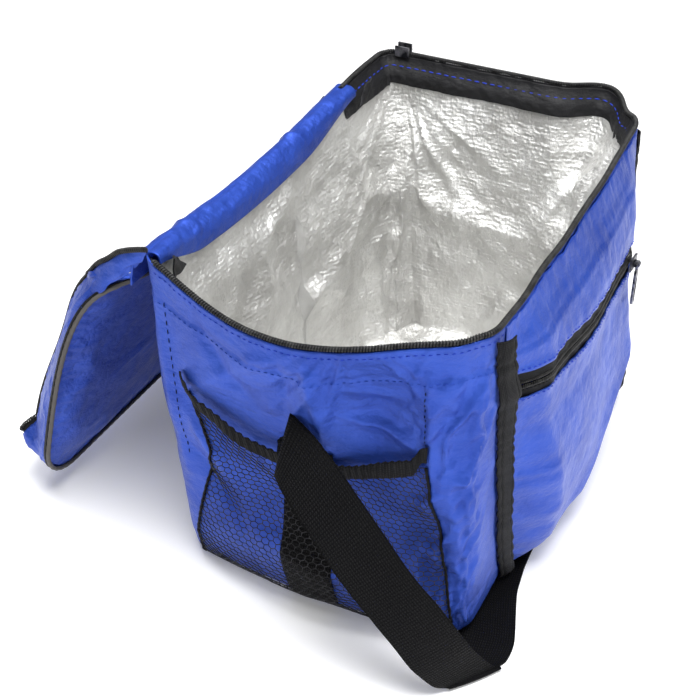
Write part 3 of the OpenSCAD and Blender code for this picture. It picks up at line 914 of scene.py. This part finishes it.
def make_net(name, far):
    cell, squash = 0.0054, 0.86             # of each hexagon: width, and how flat
    width = 0.172                           # of the net laid flat
    rows, cols = int(0.19/(cell*0.78)), int(0.186/cell)
    verts, faces, index = [], [], {}
    r = cell/math.sqrt(3)

    def vertex(x, y):
        key = (round(x*1e5), round(y*1e5))
        if key not in index:
            index[key] = len(verts)
            verts.append((x, y))
        return index[key]

    for j in range(rows + 6):
        for i in range(cols + 1):
            cx, cy = (i + 0.5*(j % 2))*cell, j*1.5*r*squash
            a, z = cx/width, 0.004 + cy
            if not (0.0 <= a <= 1.0) or z > net_top(a) + 0.004:
                continue
            faces.append([vertex(cx + r*math.cos(math.radians(60*k + 30)),
                                 cy + r*squash*math.sin(math.radians(60*k + 30)))
                          for k in range(6)])
    v = np.array(verts)
    a, z = clip(v[:, 0]/width, 0, 1), np.maximum(0.0032, 0.004 + v[:, 1])
    p = wall(net_s(a, z, far), z, net_out(a, z, far))
    if far:
        faces = [f[::-1] for f in faces]
    net = add_mesh(f"net_{name}", p, faces, NET)
    m = net.modifiers.new("threads", "WIREFRAME")
    m.thickness, m.use_even_offset, m.use_boundary = 0.00078, False, True
    attach(net, "bag", "mesh", f"mesh_pocket_{name}")

    a = linspace(-0.012, 1.012, 150)
    v = linspace(0, 1, 10)
    aa = clip(a, 0, 1)[:, None]
    width = 0.0125 - 0.002*hump(aa)
    gather = 0.0006*sin(2*pi*a/0.03)[:, None]*(0.3 + v)
    z = net_top(aa) + width*(v - 0.15) + 0.010*smooth(0.06, 0, aa) \
        + 0.012*smooth(0.06, 0, 1 - aa)
    s = net_s(a[:, None], z, far)
    p = wall(s, z, net_out(aa, z, far) + 0.0006 + gather
             - 0.002*v*hump(aa))
    trim = cloth(f"trim_{name}", p if not far else p[::-1], ELASTIC, 1.0*MM, offset=1)
    attach(trim, "bag", "elastic", f"mesh_trim_{name}")
    # the seams down both sides, where the net is caught into the wall
    for k, at in enumerate((0.0, 1.0)):
        z = linspace(0.004, float(net_top(at)) + 0.004, 90)
        row = wall(net_s(at, z, far), z, 0.0010)
        attach(rod(f"net_{name}_seam_{k}", row, 0.0011 + 0.0002*sin(z*900),
                   (1, 0, 0), GROSGRAIN), "bag", "mesh")
    # the wall's own seam goes on up to the rim
    z = linspace(float(net_top(1.0)) + 0.012, WALL_TOP - 0.028, 60)
    stitches(f"side_stitch_{name}", wall(net_s(1.0, z, far), z, 0.0003), BLACK_THREAD,
             up=(-1, 0, 0))


def make_back_seams():
    """Dark dashed seams where the end panels meet the back wall."""
    z = linspace(0.105, 0.236, 120)
    for name, s in (("near", HX + 0.016), ("far", ROUND - HX - 0.016)):
        row = wall(s + 0.004*(1 - z/0.236), z, 0.0002)
        stitches(f"back_seam_{name}", row, BLACK_THREAD, 0.004, 0.0028, up=(-1, 0, 0))


# ---- strap ----

WEB_W = 0.0395


def ribbon(name, path, count, edge_wave=0.0):
    """Flat webbing along a path, whose rows hold a centre in mm and the direction of
    the webbing's width. Returns it with its length."""
    path = np.array(path)
    c, w = smooth_line(path[:, :3]*MM, count), smooth_line(path[:, 3:], count)
    d, w, v = along(c), unit(w), linspace(-1, 1, 13)
    n = unit(np.cross(np.gradient(c, axis=0), w))
    half, cup = WEB_W/2, 0.0009*(1 - v**2)
    p = (c[:, None] + (half + edge_wave*noise(d*60, 0, 141))[:, None, None]
         * v[None, :, None]*w[:, None] + cup[None, :, None]*n[:, None])
    uv = pair(d[:, None], v*half)
    return cloth(name, p, STRAP, 1.5*MM, offset=0, uv=uv), d[-1]


def make_strap():
    # from the near fold down to the table, under the bag's front edge and up the
    # far end
    strap, length = ribbon("carry_strap", [
        [-192.0, 5, 157, .46, .20, .84], [-198.5, 6, 164, .60, 0, .78],
        [-204.0, -5, 160, .68, -.22, .70], [-207.0, -14, 153, .69, -.36, .63],
        [-212.0, -37, 130, .68, -.50, .53], [-213.5, -67, 92, .65, -.65, .39],
        [-211.0, -93, 60, .66, -.66, .36], [-206.0, -109, 34, .72, -.62, .30],
        [-197.0, -119, 14, .79, -.59, .15], [-190.0, -125, 4.8, .80, -.60, 0],
        [-187.5, -128.5, 3.0, .79, -.61, 0], [-184.0, -125.5, 1.4, .75, -.66, 0],
        [-170.0, -123.5, 1.3, .45, -.89, 0], [-148.0, -120.5, 1.3, .18, -.98, 0],
        [-124.0, -112.5, 1.3, .24, -.97, 0], [-98.0, -104.5, 1.3, .18, -.98, 0],
        [-60.0, -100, 1.3, .04, -1, 0], [0, -99, 1.3, 0, -1, 0],
        [60, -99, 1.3, 0, -1, 0], [120, -98, 1.3, 0, -1, 0],
        [160, -93, 1.6, .06, -.99, 0], [184, -84, 6, .08, -.96, .20],
        [197, -70, 22, .04, -.92, .38], [203, -56, 46, 0, -.88, .47],
        [204, -38, 80, 0, -.85, .52], [204, -20, 118, 0, -.85, .52],
        [202, -8, 146, 0, -.86, .50], [194, 0, 164, 0, -.88, .46],
        [184.0, 3, 171, 0, -.92, .38], [179.8, 3, 162, 0, -.97, .2],
        [179.4, 3, 150, 0, -1, 0]], 900, edge_wave=0.0003)
    attach(strap, "shoulder_strap", "webbing", "shoulder_strap")
    # the sewn end that comes up out of the pocket to the near fold
    end, length = ribbon("strap_end_near", [
        [-179.6, 3, 112, 0, 1, 0], [-181.0, 3, 134, 0, .9, .4],
        [-186.5, 4.5, 149, .32, .40, .86], [-192.0, 5, 157, .46, .20, .84]], 60)
    attach(end, "bag", "webbing")
    for name, far in (("near", False), ("far", True)):
        z = linspace(0.0035, 0.1520, 120)[:, None]
        v = linspace(-1, 1, 13)
        y = -v*WEB_W/2
        s = HX + HY - y
        p = wall(ROUND - s if far else s, z, 0.0012 + 0.0003*(1 - v**2))
        anchor = cloth(f"sewn_webbing_{name}", p[::-1] if far else p, STRAP, 1.4*MM,
                       offset=0, uv=pair(z, y))
        attach(anchor, "bag", "webbing", f"strap_anchor_{name}")
        # box-stitched near the fold
        corners = [(-0.014, 0.112), (0.014, 0.112), (0.014, 0.146), (-0.014, 0.146),
                   (-0.014, 0.112), (0.014, 0.146), (-0.014, 0.146), (0.014, 0.112)]
        yz = respace(np.array(corners), step=0.001)
        sb = HX + HY - yz[:, 0]
        row = wall(ROUND - sb if far else sb, yz[:, 1], 0.0024)
        stitches(f"box_stitch_{name}", row, BLACK_THREAD, up=(-1, 0, 0), slot="webbing")


# ---- lid ----

def about_x(degrees, y, z):
    turn = Matrix.Rotation(math.radians(degrees), 4, "X")
    return Matrix.Translation((0, y, z)) @ turn @ Matrix.Translation((0, -y, -z))


BAND, LID = JOINTS["band_fold"], JOINTS["lid_fold"]
AXIS1 = BAND["pos_m"][1:]
BAND_OPEN, LID_OPEN = BAND["range_deg"][1], LID["range_deg"][1]
SHUT2 = about_x(BAND_OPEN, *AXIS1) @ Vector(LID["pos_m"])
AXIS2 = (SHUT2[1], SHUT2[2])
TO_LID = np.array(about_x(-BAND_OPEN, *AXIS1) @ about_x(-LID_OPEN, *AXIS2))
LID_Z = AXIS2[1]
LID_Y0, LID_Y1 = -HY, AXIS2[0]
LID_RIM, BAND_W = 1.13, 0.036       # lengths round the lid and across its side band


def lid_bend(p):
    """The slack lid curls: it hangs in a curve from its hinge."""
    t = clip((LID_Y1 - p[..., 1])/(LID_Y1 - LID_Y0), 0, 1)
    near = 0.06 + 0.94*clip(-p[..., 0]/HX, 0, 1)**2.2
    d = 0.021*near*hump(t**0.62) - 0.0075*exp(-t/0.07)
    q = p.copy()
    q[..., 2] = q[..., 2] - d
    return q


def folded_back(p):
    """Points drawn on the shut lid, taken to where the open lid hangs."""
    return lid_bend(np.asarray(p, float)) @ TO_LID[:3, :3].T + TO_LID[:3, 3]


def lid_outline(u, inset=0.0):
    """The lid's rounded outline: u from 0 to 1 from one hinge corner by the near
    end, the free edge and the far end to the other, then along the hinge."""
    hx, y0, y1 = HX - inset, LID_Y0 + inset, LID_Y1 - inset
    r_free, r_hinge = 0.040 - inset*0.6, 0.028 - inset*0.6
    pts = []
    for x, y, r, start in ((-hx, y1, r_hinge, 90), (-hx, y0, r_free, 180),
                           (hx, y0, r_free, 270), (hx, y1, r_hinge, 0)):
        cx, cy = x - math.copysign(r, x), y - math.copysign(r, y)
        for k in range(13):
            t = math.radians(start + 90*k/12)
            pts.append((cx + r*math.cos(t), cy + r*math.sin(t)))
    pts = np.array(pts + pts[:1])
    d = along(pts)
    u = np.asarray(u)*d[-1]
    return stack([np.interp(u, d, pts[:, k]) for k in range(2)], -1), d[-1]


def lid_sheet(u, inset, count, z):
    """A filled sheet inside the lid's outline, from its rim to its middle ridge."""
    q = linspace(0, 1, count)
    p = rings(lid_outline(u, inset)[0], q, (LID_Y0 + LID_Y1)/2)
    return concatenate([p, np.broadcast_to(z, p.shape[:2])[..., None]], -1), q


def pinch(y):
    """The lid's padding thins to nothing at the hinge."""
    return smooth(LID_Y1 - 0.004, LID_Y1 - 0.040, y)


def make_lid():
    u = linspace(0, 1, 420, endpoint=False)
    p, q = lid_sheet(u, 0.0012, 74, LID_Z)
    x, y = p[..., 0], p[..., 1]
    edge = exp(-q*9)
    crown = 0.0055*smooth(0, 0.22, q)
    pucker = 0.0010*sin(2*pi*u[:, None]*LID_RIM/0.011 + 4*noise(
        u[:, None]*90, q*4, 151))*exp(-q*14)*smooth(0, 0.03, q)
    folds = (0.0016*fbm(x*9, y*9, 155) + 0.0018*ridges(x*9 + y*5, y*10 - x*3, 157)
             - 0.0010)*smooth(0, 0.12, q)
    p[..., 2] += crown + pucker + folds - 0.0006*edge
    top = cloth("lid_cover", folded_back(p), BLUE, 1.0*MM, closed=True, uv=pair(x, y))
    attach(top, "lid", "outer_fabric", "lid_top_panel")

    p, q = lid_sheet(linspace(0, 1, 160, endpoint=False), 0.012, 30, LID_Z)
    p[..., 2] -= 0.0032 - 0.0010*(1 - pinch(p[..., 1]))
    foam = cloth("lid_pad", folded_back(p), FOAM, 2.6*MM, closed=True, offset=0)
    attach(foam, "lid", "foam", "lid_foam")

    u = linspace(0, 1, 460, endpoint=False)
    p, q = lid_sheet(u, 0.0062, 70, LID_Z)
    p[..., 2] -= 0.0020 + 0.0052*pinch(p[..., 1])
    x, y = p[..., 0], p[..., 1]
    inner = smooth(0, 0.15, q)
    p[..., 2] -= inner*(0.003 + 0.0035*ridges(x*9 - y*4, y*10, 161)) \
        + foil_crumple(x, y, 165)*inner
    lining = cloth("lid_lining", folded_back(p)[:, ::-1], FOIL, 0.35*MM, closed=True,
                   uv=pair(x, y)[:, ::-1])
    attach(lining, "lid", "foil", "lid_foil")
    make_gusset()
    make_piping()


def gusset_run(count):
    """u along the near end, free edge and far end."""
    _, total = lid_outline(0.0)
    hinge_len = 2*(HX - 0.028)
    return linspace(0.034, 1 - (hinge_len + 0.038)/total, count)


def gusset_point(u, v, out=0.0):
    """A point on the lid's side band: v from 0 at the piping to 1 at the zipper."""
    xy, u = lid_outline(u)[0], np.asarray(u)
    t = unit(lid_outline(u + 0.002)[0] - lid_outline(u - 0.002)[0])
    inward = stack([-t[..., 1], t[..., 0]], -1)
    at_side = smooth(0.75, 1.0, np.abs(inward[..., 0]))
    to_hinge = smooth(LID_Y0 + 0.04, LID_Y1, xy[..., 1])
    lean = np.radians(14 + at_side*(26 + 10*hump(to_hinge)))
    h = 0.0370*v*(1 - 0.45*at_side*to_hinge**2)*(0.08 + 0.92*smooth(
        LID_Y1 - 0.001, LID_Y1 - 0.022, xy[..., 1]))
    reach = h*sin(lean) - 0.0035*hump(v) - out*cos(lean)
    p = xy + inward*reach[..., None]
    z = LID_Z - 0.0014 - h*cos(lean)
    return concatenate([p, z[..., None]], -1)


def make_gusset():
    u = gusset_run(420)[:, None]
    v = linspace(0, 1, 26)
    uu, vv = np.broadcast_arrays(linspace(0.006, u[-1, 0], 460)[:, None], v)
    wrinkle = (0.0010*sin(2*pi*uu*LID_RIM/0.012 + 5*noise(uu*80, vv*3, 171))
               * (exp(-vv*7) + exp(-(1 - vv)*9))
               + 0.0016*ridges(uu*30 + vv*1.5, vv*2.5 - uu*20, 173)
               + 0.0014*noise(uu*40, vv*3, 175))
    p = gusset_point(uu, vv*0.90, wrinkle - 0.0008)
    band = cloth("lid_side_band", folded_back(p), BLUE, 1.0*MM, offset=0,
                 uv=pair(uu*LID_RIM, vv*BAND_W))
    attach(band, "lid", "outer_fabric", "lid_gusset")
    v = linspace(0.80, 0.985, 8)
    uu, vv = np.broadcast_arrays(u, v)
    tape = cloth("lid_tape", folded_back(gusset_point(uu, vv, -0.0014)), TAPE, 0.7*MM,
                 offset=0, uv=pair(uu*LID_RIM, vv*BAND_W))
    attach(tape, "lid", "zip_tape", "lid_zip_tape")
    uu = gusset_run(700)
    line = folded_back(gusset_point(uu, 1.0, -0.0008))
    outer = folded_back(gusset_point(uu, 1.06, -0.0008)) - line
    attach(coil("lid_coil", line, outer, COIL, 0.0019, 0.0040, 0.0034, 0.00065), "lid",
           "zip_coil", "lid_zip_coil")
    row = folded_back(gusset_point(uu, 0.86, 0.0004))
    stitches("lid_hem_stitch", row, THREAD, body="lid")


def make_gore():
    """The soft near corner that joins the lid's side band to the rim at the hinge."""
    v = linspace(0, 1, 18)
    lid_side = folded_back(gusset_point(gusset_run(2)[0] + 0*v, v))
    rim_side = stack([-(0.1700 + 0.0035*v), 0.1265 - 0.0120*v, 0.2440 + 0.0185*v], -1)
    w = linspace(0, 1, 26)[:, None, None]
    p = rim_side[None]*(1 - w) + lid_side[None]*w
    p[..., 2] += 0.007*hump(w[..., 0])*v
    p[..., 0] -= 0.002*hump(w[..., 0])
    p += 0.0008*noise(w*5, v[None, :, None]*4, 191)
    gore = cloth("hinge_gore_near", p, BLUE)
    zip_end = coil("hinge_coil_near", p[:, -1] + np.array([0, 0, 0.0008]), (-1, 0, 0),
                   COIL, 0.0019, 0.0044, 0.0036, 0.00068)
    for part, slot in ((gore, "outer_fabric"), (zip_end, "zip_coil")):
        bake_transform(part)


def make_piping():
    u = linspace(0, 1, 900)
    xy, _ = lid_outline(u)

    def lifted(scale, z):
        return folded_back(concatenate([xy*scale, z + 0*xy[:, :1]], -1))

    cord = rod("piping_cord", lifted(1, LID_Z + 0.0004), 0.0017 + 0.00012*sin(u*900),
               lifted(1.01, LID_Z) - lifted(1, LID_Z), PIPING, 9)
    attach(cord, "lid", "piping", "lid_piping")
    # a black strip beside the cord, on the side band's side: painted shade that stands for the
    # dark groove between the cord and the side band
    u, v = np.meshgrid(u, linspace(-0.02, 0.075, 6), indexing="ij")
    groove_shade_strip = cloth("piping_groove_shade", folded_back(gusset_point(u % 1.0, v, 0.0012)),
                   GROSGRAIN, 0.8*MM, offset=0)
    attach(groove_shade_strip, "lid", "piping")


def make_hinge():
    """The blue band that rolls over the back rim and holds the lid."""
    profile = np.array([[107.2, 243], [107.5, 249], [109, 254.5], [112.5, 259],
                        [117.0, 261.4], [121.5, 259.8], [125.2, 253.5], [127.8, 245],
                        [129.6, 237.5], [130.6, 231]])*MM
    y, z = smooth_line(profile, 60).T
    x = linspace(-HX + 0.004, 0.104, 240)
    across = linspace(0, 1, 60)
    puff = (0.0016*fbm(x[:, None]*14, across*2.5, 181)
            + 0.0018*(ridges(x[:, None]*20, across*1.6, 183) - 0.4))
    puff = puff*hump(across)
    ry, rz = y - 0.121, z - 0.240           # from the roll's middle
    r = np.hypot(ry, rz)
    y, z = y + ry/r*puff, z + rz/r*puff
    slack = 0.0085*back_sag(-x)[:, None]*smooth(1.0, 0.45, across)
    narrow = smooth(0.02, 0.104, x) + smooth(-0.120, -HX, x)
    z = z - slack + 0.0115*narrow[:, None]*clip(1 - across/0.42, 0, 1)
    p = stack([x[:, None] + 0*y, y, z], -1)
    band = cloth("hinge_roll", p[::-1], BLUE, 1.2*MM, uv=pair(x[:, None], across*0.07))
    bpy.context.view_layer.objects.active = band
    bpy.ops.object.modifier_apply(modifier="thickness")
    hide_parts("hinge_band")
    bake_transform(band)
    row = stack([x, 0*x + 0.1071, 0.2475 - slack[:, 0] + 0.010*narrow], -1)
    stitches("hinge_stitch", row, BLACK_THREAD)


# ---- metal parts and floor ----

def finish_metal():
    for name in ("main_slider", "main_pull", "pocket_slider", "pocket_pull"):
        node = frame["nodes"][name]
        node.data.materials.clear()
        node.data.materials.append(METAL)
        bevel = node.modifiers.new("rounded edges", "BEVEL")
        bevel.width, bevel.segments, bevel.limit_method = 0.00025, 2, "ANGLE"


def make_floor():
    m = Shader("pale_floor", (0.92, 0.92, 0.925), 0.75, Emission_Strength=0.16)
    m.p.inputs["Emission Color"].default_value = (1, 1, 1, 1)
    m.set("Base Color", m.mix(m.noise(0.4, 2), (0.90, 0.90, 0.905),
                              (0.93, 0.93, 0.935)))
    size = 4.0
    floor = add_mesh("floor", [(-size, -size, 0), (size, -size, 0), (size, size, 0),
                               (-size, size, 0)], [[0, 1, 2, 3]], m.m)
    world = bpy.data.worlds.new("studio")
    world.use_nodes = True
    tree = world.node_tree
    back = tree.nodes["Background"]
    # a dark room that brightens overhead
    coord = add_node(tree, "ShaderNodeTexCoord").outputs["Generated"]
    split = add_node(tree, "ShaderNodeSeparateXYZ", {"Vector": coord})
    up = add_node(tree, "ShaderNodeMapRange", {
        "Value": split.outputs["Z"], "From Min": 0.15, "From Max": 0.95,
        "To Min": 0.05, "To Max": 0.85})
    tree.links.new(up.outputs["Result"], back.inputs["Color"])
    back.inputs["Strength"].default_value = 0.75
    bpy.context.scene.world = world
    bpy.context.scene.view_settings.view_transform = "Standard"


make_shell()
make_foam()
make_foil()
make_rim()
make_end_tabs()
make_pocket()
make_binding("binding_near", False)
make_binding("binding_far", True)
make_net("near", False)
make_net("far", True)
make_back_seams()
make_strap()
make_lid()
make_gore()
make_hinge()
finish_metal()
make_floor()
